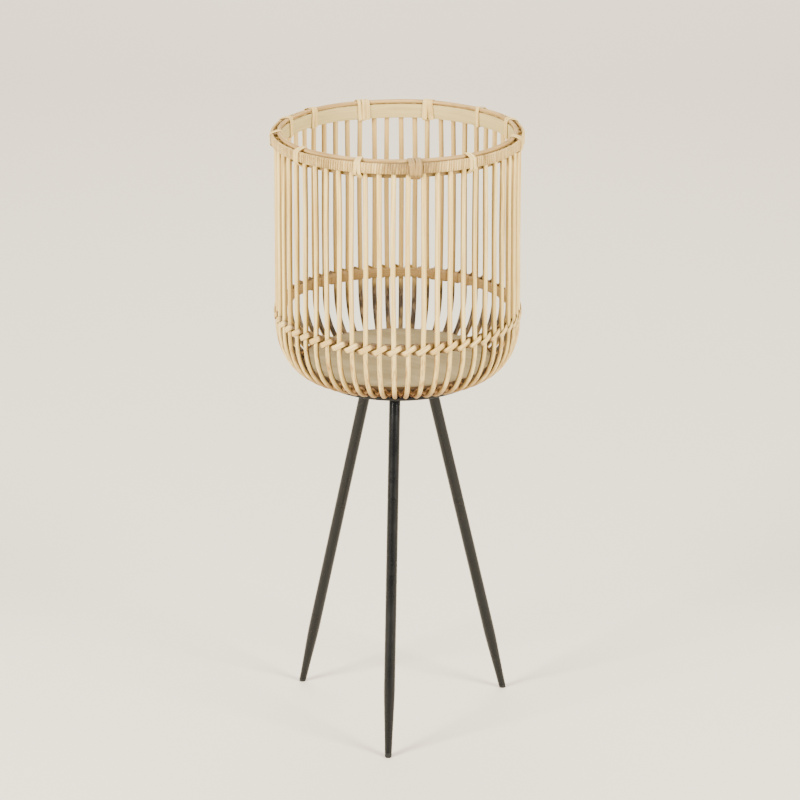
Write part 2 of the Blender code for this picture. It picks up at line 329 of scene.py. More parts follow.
def soft_rectangle(thickness: float, width: float, radius: float) -> np.ndarray:
    """Section of a flat hoop with rounded edges, in metres."""
    rows = []
    for side_out, side_across, start in ((1, 1, 0), (-1, 1, 90), (-1, -1, 180), (1, -1, 270)):
        for step in (0.0, 30.0, 60.0, 90.0):
            turn = math.radians(start + step)
            rows.append((
                side_out * (thickness / 2 - radius) + radius * math.cos(turn),
                side_across * (width / 2 - radius) + radius * math.sin(turn),
            ))
    return np.array(rows) * MM


class NodeTree:
    """A node tree with short ways to add the nodes that repeat."""

    tree: Any

    def add(self, kind: str, inputs: dict | None = None, **settings: Any) -> Any:
        """Add a node to this tree, with its inputs as in add_node."""
        return add_node(self.tree, kind, inputs, **settings)

    def math(self, operation: str, *values: Any) -> Any:
        """Node that works out one sum on numbers."""
        return self.add("ShaderNodeMath", dict(enumerate(values)), operation=operation)

    def vector(self, operation: str, *values: Any) -> Any:
        """Node that works out one sum on vectors."""
        return self.add("ShaderNodeVectorMath", dict(enumerate(values)), operation=operation)


class GeometryRecipe(NodeTree):
    """A Geometry Nodes tree with named inputs, run once on a holder mesh."""

    def __init__(self, name: str) -> None:
        """Start the tree with its geometry sockets."""
        self.tree = bpy.data.node_groups.new(name, "GeometryNodeTree")
        for way in ("INPUT", "OUTPUT"):
            self.tree.interface.new_socket(
                "Geometry", in_out=way, socket_type="NodeSocketGeometry"
            )
        self.source = self.add("NodeGroupInput")
        self.identifiers: dict[str, str] = {}

    def sizes(self, kind: str, *names: str) -> list[Any]:
        """Add named inputs of one kind, such as "Float", "Int" or "Material".

        Args:
            kind: Their socket type.
            names: Their names.

        Returns:
            The sockets to link from.
        """
        for name in names:
            item = self.tree.interface.new_socket(
                name, in_out="INPUT", socket_type=f"NodeSocket{kind}"
            )
            self.identifiers[name] = item.identifier
        return [self.source.outputs[name] for name in names]

    def noise(self, place: Any, seed: Any, scale: float, detail: float) -> Any:
        """Noise node in four dimensions, with the seed as the fourth."""
        return self.add("ShaderNodeTexNoise", {
            "Vector": place, "W": seed, "Scale": scale, "Detail": detail,
        }, noise_dimensions="4D")

    def capture(self, geometry: Any, kind: str, name: str, value: Any) -> Any:
        """Node that holds a value on a geometry for later nodes."""
        node = self.add("GeometryNodeCaptureAttribute", {"Geometry": geometry})
        node.capture_items.new(kind, name)
        self.tree.links.new(value, node.inputs[name])
        return node

    def store(
        self, geometry: Any, name: str, value: Any, kind: str, domain: str = "POINT"
    ) -> Any:
        """Node that writes a named attribute on a geometry."""
        return self.add("GeometryNodeStoreNamedAttribute", {
            "Geometry": geometry, "Name": name, "Value": value,
        }, data_type=kind, domain=domain)

    def end(self, geometry: Any, finish: Any) -> None:
        """Realize, smooth, set the material and close the tree."""
        real = self.add("GeometryNodeRealizeInstances", {"Geometry": geometry})
        smooth = self.add("GeometryNodeSetShadeSmooth", {"Geometry": real})
        dressed = self.add("GeometryNodeSetMaterial", {"Geometry": smooth, "Material": finish})
        self.add("NodeGroupOutput", {0: dressed})

    def run(self, name: str, holder: Mesh, values: dict[str, Any]) -> Object:
        """Make a plain mesh piece.

        Args:
            name: The piece's name.
            holder: Mesh that the tree starts from.
            values: Named input to value.

        Returns:
            The piece, with no modifier on it.
        """
        carrier = place_object(f"{name}_holder", holder)
        modifier = carrier.modifiers.new("recipe", "NODES")
        modifier.node_group = self.tree
        for key, value in values.items():
            modifier[self.identifiers[key]] = value
        graph = bpy.context.evaluated_depsgraph_get()
        mesh = bpy.data.meshes.new_from_object(
            carrier.evaluated_get(graph), preserve_all_data_layers=True, depsgraph=graph
        )
        bpy.data.objects.remove(carrier, do_unlink=True)
        mesh.name = name
        return place_object(name, mesh)


def cane_recipe() -> GeometryRecipe:
    """Recipe for a round cane along the holder's edges, uneven as a grown stem is."""
    recipe = GeometryRecipe("cane_along_path")
    radius, uneven, seed, tone = recipe.sizes("Float", "Radius", "Unevenness", "Seed", "Tone")
    sides, = recipe.sizes("Int", "Sides")
    finish, = recipe.sizes("Material", "Finish")
    curve = recipe.add("GeometryNodeMeshToCurve", {"Mesh": recipe.source})
    place = recipe.add("GeometryNodeInputPosition")
    spread = recipe.add("ShaderNodeMapRange", {
        "Value": recipe.noise(place, seed, 22.0, 2.0),
        "From Min": 0.25, "From Max": 0.75, "To Min": -1.0, "To Max": 1.0,
    })
    wide = recipe.math("MULTIPLY_ADD", spread, uneven, 1.0)
    fat = recipe.add("GeometryNodeSetCurveRadius", {"Curve": curve, "Radius": wide})
    far = recipe.add("GeometryNodeSplineParameter").outputs["Length"]
    held = recipe.capture(fat, "FLOAT", "Length", far)
    circle = recipe.add(
        "GeometryNodeCurvePrimitiveCircle", {"Resolution": sides, "Radius": radius}, mode="RADIUS"
    )
    spot = recipe.capture(circle, "VECTOR", "Spot", place.outputs[0])
    tube = recipe.add("GeometryNodeCurveToMesh", {
        "Curve": held, "Profile Curve": spot, "Fill Caps": True,
    })
    split = recipe.add("ShaderNodeSeparateXYZ", {0: spot.outputs["Spot"]})
    joined = recipe.add("ShaderNodeCombineXYZ", {
        "X": held.outputs["Length"], "Y": split.outputs[0], "Z": split.outputs[1],
    })
    fibre = recipe.store(tube, GRAIN, joined, "FLOAT_VECTOR")
    recipe.end(recipe.store(fibre, TONE, tone, "FLOAT"), finish)
    return recipe


def turns_recipe() -> GeometryRecipe:
    """Recipe that repeats one turn of a winding round the Z axis and joins the turns."""
    recipe = GeometryRecipe("turns_round_axis")
    turns, seed = recipe.sizes("Int", "Turns", "Seed")
    step, first = recipe.sizes("Float", "Step Angle", "First Angle")
    shift, tilt = recipe.sizes("Float", "Unevenness", "Tilt")
    finish, = recipe.sizes("Material", "Finish")
    line = recipe.add("GeometryNodeMeshLine", {"Count": turns, "Offset": (0.0, 0.0, 0.0)})
    angle = recipe.math("MULTIPLY_ADD", recipe.add("GeometryNodeInputIndex"), step, first)
    turned_by = recipe.add("FunctionNodeAxisAngleToRotation", {"Axis": tuple(UP), "Angle": angle})
    copies = recipe.add("GeometryNodeInstanceOnPoints", {
        "Points": line, "Instance": recipe.source, "Rotation": turned_by,
    })
    pick = recipe.add("FunctionNodeRandomValue", {"Seed": seed}, data_type="FLOAT")
    shade = recipe.store(copies, TONE, pick.outputs[1], "FLOAT", "INSTANCE")
    real = recipe.add("GeometryNodeRealizeInstances", {"Geometry": shade})
    whole = recipe.add("GeometryNodeMergeByDistance", {"Geometry": real, "Distance": JOIN_DISTANCE})
    place = recipe.add("GeometryNodeInputPosition")
    rough = recipe.noise(place, seed, 60.0, 1.0).outputs["Color"]
    move = recipe.vector("MULTIPLY", recipe.vector("SUBTRACT", rough, (0.5, 0.5, 0.5)), shift)
    away = recipe.vector("NORMALIZE", recipe.vector("MULTIPLY", place, LEVEL))
    back = recipe.add("ShaderNodeSeparateXYZ", {0: away}).outputs[1]
    rise = recipe.add("ShaderNodeCombineXYZ", {"Z": recipe.math("MULTIPLY", back, tilt)})
    moved = recipe.add("GeometryNodeSetPosition", {
        "Geometry": whole, "Offset": recipe.vector("ADD", move, rise),
    })
    recipe.end(moved, finish)
    return recipe


def path_mesh(name: str, points: np.ndarray, closed: bool) -> Mesh:
    """Mesh of edges along a path, for a recipe to start from."""
    count = len(points)
    last = count if closed else count - 1
    return new_mesh(name, points, (), [(i, (i + 1) % count) for i in range(last)])


# ------------------------------------------------------------- materials


class Shade(NodeTree):
    """Shader tree of one material, with the steps that the finishes share."""

    def __init__(
        self, name: str, roughness: float, ior: float, metallic: float = 0.0,
        sheen: float = DULL_SHEEN,
    ) -> None:
        """Start a material.

        Args:
            name: Common name of the real finish.
            roughness: Mean roughness.
            ior: Index of refraction, left alone on a metal.
            metallic: 1 for bare metal.
            sheen: Specular level, left alone on a metal.
        """
        self.material = bpy.data.materials.new(name)
        self.material.use_nodes = True
        self.tree = self.material.node_tree
        self.shader = self.tree.nodes["Principled BSDF"]
        self.shader.inputs["Roughness"].default_value = roughness
        self.shader.inputs["Metallic"].default_value = metallic
        if not metallic:
            self.shader.inputs["IOR"].default_value = ior
            self.shader.inputs["Specular IOR Level"].default_value = sheen

    def noise(
        self, vector: Any, scale: Sequence[float], detail: float = 3.0, shift: Any = None,
    ) -> Any:
        """Noise value over a stretched vector.

        Args:
            vector: Coordinates to read.
            scale: Cycles per metre along each axis.
            detail: Octaves.
            shift: Value that moves the pattern from piece to piece.

        Returns:
            The noise socket, about 0.5 on average.
        """
        mapped = self.add("ShaderNodeMapping", {"Vector": vector, "Scale": scale})
        inputs = {"Vector": mapped, "Scale": 1.0, "Detail": detail, "Roughness": 0.6}
        if shift is None:
            return self.add("ShaderNodeTexNoise", inputs).outputs[0]
        inputs["W"] = self.math("MULTIPLY", shift, TONE_SHIFT)
        return self.add("ShaderNodeTexNoise", inputs, noise_dimensions="4D").outputs[0]

    def band(
        self, value: Any, low: float, high: float, bottom: float = 0.0, top: float = 1.0
    ) -> Any:
        """Value eased from bottom at low to top at high, held outside."""
        return self.add("ShaderNodeMapRange", {
            "Value": value, "From Min": low, "From Max": high, "To Min": bottom, "To Max": top,
        }, interpolation_type="SMOOTHSTEP").outputs[0]

    def blend(self, share: Any, first: Any, second: Any) -> Any:
        """Colour between two colours, each a hex string or a socket."""
        ends = [linear(c) if isinstance(c, str) else c for c in (first, second)]
        node = self.add("ShaderNodeMix", {0: share, 6: ends[0], 7: ends[1]}, data_type="RGBA")
        return node.outputs[2]

    def lay(
        self, colour: Any, over: str, mask: Any, low: float, high: float, share: float = 1.0
    ) -> Any:
        """Lay a second colour over the first where a mask goes from low to high.

        Args:
            colour: The colour so far.
            over: Hex colour laid over it.
            mask: Value that says where.
            low: Mask value where it starts.
            high: Mask value where it is full.
            share: How much of it shows where it is full.

        Returns:
            The new colour.
        """
        return self.blend(self.band(mask, low, high, 0.0, share), colour, over)

    def grain(self) -> tuple[Any, Any]:
        """The piece's own fibre coordinates and its tone."""
        fibre = self.add("ShaderNodeAttribute", attribute_name=GRAIN)
        tone = self.add("ShaderNodeAttribute", attribute_name=TONE)
        return fibre.outputs["Vector"], tone.outputs["Fac"]

    def place(self) -> Any:
        """Object coordinates."""
        return self.add("ShaderNodeTexCoord").outputs["Object"]

    def height(self, place: Any) -> Any:
        """Height above the floor."""
        return self.add("ShaderNodeSeparateXYZ", {0: place}).outputs[2]

    def reach(self, place: Any) -> Any:
        """Distance from the basket's axis."""
        flat = self.vector("MULTIPLY", place, LEVEL)
        return self.vector("LENGTH", flat).outputs["Value"]

    def facing_out(self, place: Any) -> Any:
        """1 where a face looks away from the basket's axis, -1 where it looks at it."""
        away = self.vector("NORMALIZE", self.vector("MULTIPLY", place, LEVEL))
        normal = self.add("ShaderNodeNewGeometry").outputs["Normal"]
        return self.vector("DOT_PRODUCT", away, normal).outputs["Value"]

    def finish(self, colour: Any, height: Any = None, depth: float = 0.0, rough: Any = None) -> Any:
        """Link the results and return the material.

        Args:
            colour: Base colour socket.
            height: Bump height socket between 0 and 1.
            depth: Depth of the bump in millimetres.
            rough: Roughness socket.

        Returns:
            The material.
        """
        self.tree.links.new(colour, self.shader.inputs["Base Color"])
        if rough is not None:
            self.tree.links.new(rough, self.shader.inputs["Roughness"])
        if height is not None:
            bump = self.add("ShaderNodeBump", {"Height": height, "Distance": depth * MM})
            self.tree.links.new(bump.outputs[0], self.shader.inputs["Normal"])
        return self.material


@dataclass(frozen=True)
class PeeledCane:
    """Peeled rattan core, steam bent: satin, straight fibres, scorched by the bending flame."""

    name: str = "peeled_cane_core"
    pale: str = "ead28c"
    deep: str = "c4a056"
    fleck: str = "946e30"
    # painted shade: colour that the uprights' flanks are darkened to
    flank_shade: str = "94763a"
    scorch: str = "8e6026"
    inner: str = "ae8e54"
    # painted shade: colour of the uprights low down, where they pass under the board's edge
    foot: str = "8a6434"
    # darkest and palest colours of the mottle on the inner faces low in the basket
    low_inner_dark: str = "382c20"
    low_inner_pale: str = "806c50"
    roughness: float = 0.46
    # heights in metres between which a look fades in
    under_board_shade_band: tuple[float, float] = (0.462, 0.447)
    scorch_top: tuple[float, float] = (0.512, 0.497)
    scorch_end: tuple[float, float] = (0.446, 0.468)
    low_inner_band: tuple[float, float] = (0.520, 0.498)

    def build(self) -> Material:
        """Make the material."""
        s = Shade(self.name, self.roughness, 1.5)
        grain, tone = s.grain()
        place = s.place()
        streak = s.noise(grain, (14.0, 700.0, 700.0), 4.0, tone)
        cloud = s.noise(grain, (26.0, 120.0, 120.0), 3.0, tone)
        colour = s.lay(self.pale, self.deep, streak, 0.35, 0.68)
        colour = s.lay(colour, self.deep, tone, 0.0, 1.0, 0.45)
        colour = s.lay(colour, self.fleck, cloud, 0.58, 0.8, 0.45)
        height = s.height(place)
        inside = s.band(s.facing_out(place), 0.25, -0.35)
        colour = s.blend(s.math("MULTIPLY", inside, 0.5), colour, self.inner)
        # Painted shade: the flanks, turned sideways to the axis, are painted darker.
        turned_away = s.math("ABSOLUTE", s.facing_out(place))
        colour = s.lay(colour, self.flank_shade, turned_away, 0.6, 0.1, 0.75)
        # Painted shade: the uprights are painted darker brown from 462 mm down, under the board's
        # edge.
        colour = s.lay(colour, self.foot, height, *self.under_board_shade_band, 0.75)
        hot = s.math("MULTIPLY", s.band(height, *self.scorch_top), s.band(height, *self.scorch_end))
        licks = s.band(s.noise(grain, (70.0, 420.0, 420.0), 3.0, tone), 0.46, 0.66)
        flame = s.math("MULTIPLY", hot, s.math("MULTIPLY", licks, 0.75))
        colour = s.blend(flame, colour, self.scorch)
        # The inner faces low in the basket are painted darker, with a mottle.
        low = s.math("MULTIPLY", s.band(height, *self.low_inner_band), inside)
        low_inner_mottle = s.blend(
            s.band(s.noise(grain, (60.0, 220.0, 220.0), 3.0, tone), 0.44, 0.7), self.low_inner_dark, self.low_inner_pale
        )
        cover = s.band(s.noise(grain, (30.0, 90.0, 90.0), 2.0, tone), 0.3, 0.5, 0.6, 1.0)
        colour = s.blend(s.math("MULTIPLY", low, cover), colour, low_inner_mottle)
        rough = s.band(streak, 0.2, 0.8, self.roughness - 0.08, self.roughness + 0.14)
        return s.finish(colour, streak, 0.12, rough)


@dataclass(frozen=True)
class PeelStrip:
    """Rattan peel: a thin strip of the glossy skin with fine lines along it."""

    name: str
    pale: str
    deep: str
    line: str
    roughness: float = 0.42
    aged: str = ""
    toasted: str = ""
    # painted shade: dark brown where the lacing turns in round the hoop
    tuck_shade: str = "4a3219"
    # radii in metres between which a look fades in
    tuck_shade_band: tuple[float, float] = (0.1476, 0.1452)
    inner_band: tuple[float, float] = (0.1386, 0.1370)
    # radius, angle and height of the hoop's joint, and the reach of its brown patch in metres
    joint_place: tuple[float, float, float] = (147.0, 6.0, 731.0)
    joint_band: tuple[float, float] = (0.046, 0.020)

    def build(self) -> Material:
        """Make the material."""
        s = Shade(self.name, self.roughness, 1.5)
        grain, tone = s.grain()
        fine = s.noise(grain, (18.0, 1500.0, 300.0), 3.0, tone)
        cloud = s.noise(grain, (40.0, 90.0, 90.0), 2.0, tone)
        colour = s.lay(self.pale, self.deep, fine, 0.36, 0.66)
        colour = s.lay(colour, self.deep, tone, 0.0, 1.0, 0.5)
        colour = s.lay(colour, self.line, cloud, 0.56, 0.8, 0.6)
        place = s.place()
        if self.aged:
            patches = s.noise(place, (30.0, 30.0, 30.0), 3.0)
            colour = s.lay(colour, self.line, patches, 0.5, 0.7, 0.45)
            near = s.vector("DISTANCE", place, tuple(polar(*self.joint_place))).outputs["Value"]
            brown = s.band(near, *self.joint_band, 0.0, 0.8)
            blotch = s.band(s.noise(grain, (90.0, 400.0, 400.0), 3.0, tone), 0.3, 0.6, 0.45, 1.0)
            colour = s.blend(s.math("MULTIPLY", brown, blotch), colour, self.aged)
        if self.toasted:
            reach = s.reach(place)
            # Painted shade: the lacing is painted dark brown where it turns in towards the hoop,
            # inside 147.6 mm.
            colour = s.lay(colour, self.tuck_shade, reach, *self.tuck_shade_band, 0.9)
            colour = s.lay(colour, self.toasted, reach, *self.inner_band)
        rough = s.band(fine, 0.2, 0.8, self.roughness - 0.06, self.roughness + 0.16)
        return s.finish(colour, fine, 0.08, rough)


@dataclass(frozen=True)
class FlatCane:
    """Split cane hoop: long open fibres, planed flat, with small stains."""

    name: str
    pale: str
    deep: str
    stain: str
    roughness: float = 0.55
    stained: float = 0.4
    stain_scale: float = 30.0
    relief: float = 0.14
    # painted shade: colour painted on faces turned away from the axis
    outer: str = ""
    # painted light: paler colour given to the upper weave row
    lit_row_tint: str = ""

    def build(self) -> Material:
        """Make the material."""
        s = Shade(self.name, self.roughness, 1.5)
        grain, tone = s.grain()
        fibre = s.noise(grain, (12.0, 900.0, 900.0), 4.0, tone)
        broad = s.noise(grain, (self.stain_scale, 160.0, 160.0), 3.0, tone)
        colour = s.lay(self.pale, self.deep, fibre, 0.34, 0.68)
        colour = s.lay(colour, self.stain, broad, 0.5, 0.76, self.stained)
        # Painted shade: faces turned away from the axis are painted darker brown.
        if self.outer:
            colour = s.lay(colour, self.outer, s.facing_out(s.place()), 0.2, 0.7, 0.8)
        # Painted light: pieces with a high tone, the upper weave row, are painted paler than the
        # lower row, which stays dark as if in shade.
        if self.lit_row_tint:
            colour = s.lay(colour, self.lit_row_tint, tone, 0.4, 0.9, 0.8)
        rough = s.band(fibre, 0.2, 0.8, self.roughness - 0.06, self.roughness + 0.16)
        return s.finish(colour, fibre, self.relief, rough)


@dataclass(frozen=True)
class Plywood:
    """Sanded plywood face: a soft grey-beige veneer with long flecks and a darker rim."""

    name: str = "sanded_plywood"
    pale: str = "a0906a"
    deep: str = "8e7e58"
    fleck: str = "6e5c3c"
    edge: str = "4e3620"
    grain_turn: tuple[float, float, float] = (0.0, 0.0, 0.6)
    rim_band: tuple[float, float] = (0.104, 0.1108)

    def build(self) -> Material:
        """Make the material."""
        s = Shade(self.name, 0.68, 1.5)
        place = s.place()
        lay = s.add("ShaderNodeMapping", {"Vector": place, "Rotation": self.grain_turn})
        figure = s.noise(lay, (12.0, 60.0, 60.0), 4.0)
        fleck = s.noise(lay, (90.0, 620.0, 620.0), 3.0)
        colour = s.lay(self.pale, self.deep, figure, 0.34, 0.66)
        colour = s.lay(colour, self.fleck, fleck, 0.58, 0.78, 0.4)
        colour = s.lay(colour, self.edge, s.reach(place), *self.rim_band, 0.3)
        side = s.band(s.facing_out(place), 0.45, 0.8)
        colour = s.blend(s.math("MULTIPLY", side, 0.85), colour, self.edge)
        rough = s.band(fleck, 0.2, 0.8, 0.6, 0.78)
        return s.finish(colour, fleck, 0.06, rough)


@dataclass(frozen=True)
class PowderCoat:
    """Powder coat on steel: satin black with a fine orange-peel skin."""

    name: str = "powder_coated_steel"
    colour: str = "020304"
    dust: str = "08090b"
    roughness: float = 0.28
    sheen: float = 0.32

    def build(self) -> Material:
        """Make the material. The peel is drawn at 1.6 mm, coarser than the real 0.5 mm, to show."""
        s = Shade(self.name, self.roughness, 1.5, sheen=self.sheen)
        place = s.place()
        peel = s.noise(place, (620.0, 620.0, 620.0), 2.0)
        film = s.noise(place, (28.0, 28.0, 28.0), 3.0)
        colour = s.lay(self.colour, self.dust, film, 0.4, 0.72, 0.5)
        rough = s.band(film, 0.3, 0.7, self.roughness - 0.06, self.roughness + 0.1)
        return s.finish(colour, peel, 0.012, rough)


@dataclass(frozen=True)
class ZincPlate:
    """Bright zinc plate on a small steel screw: cool grey with dull patches."""

    name: str = "zinc_plated_steel"

    def build(self) -> Material:
        """Make the material."""
        s = Shade(self.name, 0.34, 1.5, 1.0)
        patch = s.noise(s.place(), (240.0, 240.0, 240.0), 3.0)
        colour = s.lay("c3c6c9", "93979b", patch, 0.35, 0.7)
        return s.finish(colour, patch, 0.02, s.band(patch, 0.3, 0.7, 0.26, 0.46))


@dataclass(frozen=True)
class Nylon:
    """Moulded black nylon: dull, with a scuffed sole."""

    name: str = "black_nylon"

    def build(self) -> Material:
        """Make the material."""
        s = Shade(self.name, 0.52, 1.53)
        place = s.place()
        scuff = s.noise(place, (900.0, 900.0, 900.0), 3.0)
        sole = s.band(s.height(place), 0.0015, 0.0)
        colour = s.blend(s.math("MULTIPLY", sole, scuff), "1e1e1e", "55524e")
        return s.finish(colour, scuff, 0.03)


@dataclass(frozen=True)
class StudioPaper:
    """Matt pale paper sweep for the floor and the backdrop."""

    name: str = "pale_paper_sweep"
    colour: str = "e4ddce"
    shade: str = "dbd4c5"

    def build(self) -> Material:
        """Make the material."""
        s = Shade(self.name, 0.9, 1.45)
        tint = s.noise(s.place(), (0.8, 0.8, 0.8), 1.0)
        return s.finish(s.lay(self.colour, self.shade, tint, 0.3, 0.7, 0.12))


class Finishes:
    """Every material of the stand, made once."""

    def __init__(self) -> None:
        """Build them."""
        self.cane = PeeledCane().build()
        self.tie = PeelStrip("binding_peel", "ead494", "c4a258", "8c662c").build()
        self.lacing = PeelStrip(
            "lacing_peel", "ead08c", "bc964e", "7c5624", toasted="947646"
        ).build()
        self.wrap = PeelStrip(
            "hoop_wrapping_peel", "e0c484", "ae8c4c", "74541f", aged="6e5430"
        ).build()
        self.joint = PeelStrip("brown_joint_peel", "a88c5a", "84683c", "583e20").build()
        # the band's outer face is painted darker: painted shade
        self.band = FlatCane(
            "split_cane_band", "c2ae74", "b49f64", "98824c",
            roughness=0.5, stained=0.35, stain_scale=26.0, relief=0.05, outer="7a5e34",
        ).build()
        self.rim = FlatCane(
            "rim_cane_core", "c0a064", "967444", "5e4222",
            roughness=0.48, stained=0.45, stain_scale=40.0,
        ).build()
        self.toasted = FlatCane(
            "toasted_cane_hoop", "a08250", "886c3e", "644a28",
            roughness=0.5, stained=0.4, stain_scale=60.0, relief=0.1,
        ).build()
        # painted light: the upper row is painted paler than the lower
        self.weave = FlatCane(
            "smoked_weaving_cane", "5e3c22", "3a2414", "6e4c28",
            roughness=0.58, stained=0.5, stain_scale=60.0, lit_row_tint="8c683c",
        ).build()
        self.board = Plywood().build()
        self.steel = PowderCoat().build()
        self.zinc = ZincPlate().build()
        self.nylon = Nylon().build()


def fit(piece: Object, body: str, slot: str, *nodes: str) -> Object:
    """Put a piece on its body in place of its CAD nodes.

    Args:
        piece: The finished piece.
        body: CAD body that it rides on.
        slot: Material slot of the record; not used.
        nodes: CAD nodes that it stands for.

    Returns:
        The piece.
    """
    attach(piece, body)
    if nodes:
        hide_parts(*nodes)
    LOG.info("%s: %d faces", piece.name, len(piece.data.polygons))
    return piece


# ---------------------------------------------------------------- basket


@dataclass
class Bend:
    """Centre line of an upright: straight down from the rim, then round under the board.

    Sizes in millimetres.
    """

    rim_radius: float = 142.2
    rim_height: float = 735.2
    top_radius: float = 143.1
    top_height: float = 508.0
    end_radius: float = 90.0
    end_height: float = 442.0
    power: float = 2.15

    def at(self, turn_deg: float) -> tuple[float, float]:
        """Radius and height at a share of the quarter turn."""
        turn = math.radians(turn_deg)
        across = max(math.cos(turn), 0.0) ** (2.0 / self.power)
        down = max(math.sin(turn), 0.0) ** (2.0 / self.power)
        return (
            self.end_radius + (self.top_radius - self.end_radius) * across,
            self.top_height - (self.top_height - self.end_height) * down,
        )

    def at_height(self, height: float) -> tuple[float, np.ndarray]:
        """Radius at a height, and the inward normal there as (radius, height)."""
        share = (self.top_height - height) / (self.top_height - self.end_height)
        turn_deg = math.degrees(math.asin(share ** (self.power / 2.0)))
        before, after = self.at(turn_deg - 0.5), self.at(turn_deg + 0.5)
        along = unit(np.array(after) - np.array(before))
        return self.at(turn_deg)[0], np.array((along[1], -along[0]))


@dataclass
class Uprights:
    """Bent cane uprights, two from each cane, which turns back on the plate."""

    bend: Bend
    radius: float = 3.0
    sides: int = 14
    sway: float = 1.2
    spread_deg: float = 0.3
    hairpin_radius: float = 82.6
    seed: int = 11

    def single_path(self, angle_deg: float, draws: np.ndarray) -> np.ndarray:
        """Centre line of one upright, top to inner end, in metres."""
        rows = []
        bend = self.bend
        for share in np.linspace(0.0, 1.0, 13)[:-1]:
            bow = math.sin(math.pi * share)
            ripple = math.sin(2.0 * math.pi * share + 6.0 * draws[3])
            side = self.sway * bow * (draws[0] + 0.4 * ripple * draws[1])
            radius = bend.rim_radius + (bend.top_radius - bend.rim_radius) * share
            turn = angle_deg + math.degrees(side / radius)
            height = bend.rim_height + (bend.top_height - bend.rim_height) * share
            rows.append(polar(radius + 0.7 * bow * draws[2], turn, height))
        for turn_deg in np.linspace(0.0, 90.0, 23):
            radius, height = bend.at(float(turn_deg))
            rows.append(polar(radius, angle_deg, height))
        rows.append(polar(self.hairpin_radius, angle_deg, bend.end_height))
        return np.array(rows)

    def pair_path(self, first_deg: float, rng: np.random.Generator) -> np.ndarray:
        """Centre line of a pair, down one upright and up the other."""
        draws = rng.uniform(-1.0, 1.0, (2, 5))
        shifts = draws[:, 4] * self.spread_deg
        near = self.single_path(first_deg + shifts[0], draws[0])
        away = self.single_path(first_deg + PITCH_DEG + shifts[1], draws[1])
        middle = (near[-1] + away[-1]) / 2
        half = (near[-1] - away[-1]) / 2
        inward = -outward(first_deg + PITCH_DEG / 2) * np.linalg.norm(half)
        turns = np.radians(np.linspace(0.0, 180.0, 9)[1:-1])
        arc = [middle + half * math.cos(t) + inward * math.sin(t) for t in turns]
        return np.vstack([near, np.array(arc), away[::-1]])

    def build(self, recipe: GeometryRecipe, finishes: Finishes) -> None:
        """Make every pair as a piece of its own."""
        rng = np.random.default_rng(self.seed)
        for pair in range(UPRIGHTS // 2):
            path = self.pair_path(PHASE_DEG + 2 * pair * PITCH_DEG, rng)
            name = f"bent_cane_pair_{pair + 1:02d}"
            piece = recipe.run(name, path_mesh(f"{name}_path", path, False), {
                "Radius": self.radius * MM * float(rng.uniform(0.95, 1.05)),
                "Sides": self.sides,
                "Unevenness": 0.05,
                "Seed": float(pair),
                "Tone": float(rng.uniform(0.0, 1.0)),
                "Finish": finishes.cane,
            })
            fit(piece, BASKET, "peeled_cane", f"upright_pair_{pair + 1:02d}")


@dataclass
class Hoop:
    """Flat or round hoop about the basket's axis, slightly uneven as bent cane is."""

    name: str
    node: str
    slot: str
    radius: float
    height: float
    section: np.ndarray
    wave: float = 0.25
    lobes: int = 7
    tilt: float = 0.0
    steps: int = 288

    def build(self, material: Material, tone: float = 0.5) -> Object:
        """Make the hoop as a closed ring."""
        angles = np.arange(self.steps) * 360.0 / self.steps
        path = np.array([
            polar(
                self.radius, a, self.height + self.wave * math.sin(math.radians(a * self.lobes))
                - self.tilt * math.cos(math.radians(a)),
            )
            for a in angles
        ])
        normals = np.array([outward(a) for a in angles])
        piece = Sweep(path, normals, self.section, closed=True).piece(self.name, material, tone)
        return fit(piece, BASKET, self.slot, self.node)


@dataclass
class HoopWrapping:
    """Fine peel wound tightly round the outer rim hoop. Sizes in millimetres."""

    centre_radius: float = 147.3
    centre_height: float = 731.45
    half_thickness: float = 1.55
    half_height: float = 6.0
    corner: float = 1.3
    turns: int = 300
    crown: float = 0.38
    seed: int = 5

    def turn(self) -> Mesh:
        """One turn of the strip, from the inside of the hoop round and back to it."""
        outline = soft_rectangle(
            2 * self.half_thickness, 2 * self.half_height, self.corner
        )[::2] / MM
        start = int(np.argmin(outline[:, 0] * 10 + np.abs(outline[:, 1])))
        outline = np.roll(outline, -start, axis=0)
        outline = np.vstack([outline, outline[:1]])
        step_deg = 360.0 / self.turns
        count = len(outline) - 1
        width = 2 * math.pi * (self.centre_radius + self.half_thickness) / self.turns
        path, sides = [], []
        for i, (out, up) in enumerate(outline):
            angle_deg = step_deg * (i / count - 0.5)
            path.append(polar(self.centre_radius + out, angle_deg, self.centre_height + up))
            away = outward(angle_deg) * out / self.half_thickness
            sides.append(unit(away + UP * (up / self.half_height)))
        half = width * 0.54
        section = np.array((
            (-0.25, 0.0), (0.0, -half), (self.crown, 0.0), (0.0, half),
        )) * MM
        return one_turn(np.array(path), np.array(sides), section, step_deg)

    def build(self, recipe: GeometryRecipe, finishes: Finishes) -> None:
        """Wind the whole hoop and put it over its CAD node."""
        piece = recipe.run("rim_hoop_wrapping", self.turn(), {
            "Turns": self.turns,
            "Step Angle": 2 * math.pi / self.turns,
            "Unevenness": 0.0011,
            "Seed": self.seed,
            "Finish": finishes.wrap,
        })
        face_outward(piece.data)
        fit(piece, BASKET, "wrapped_hoop_peel", "rim_hoop")


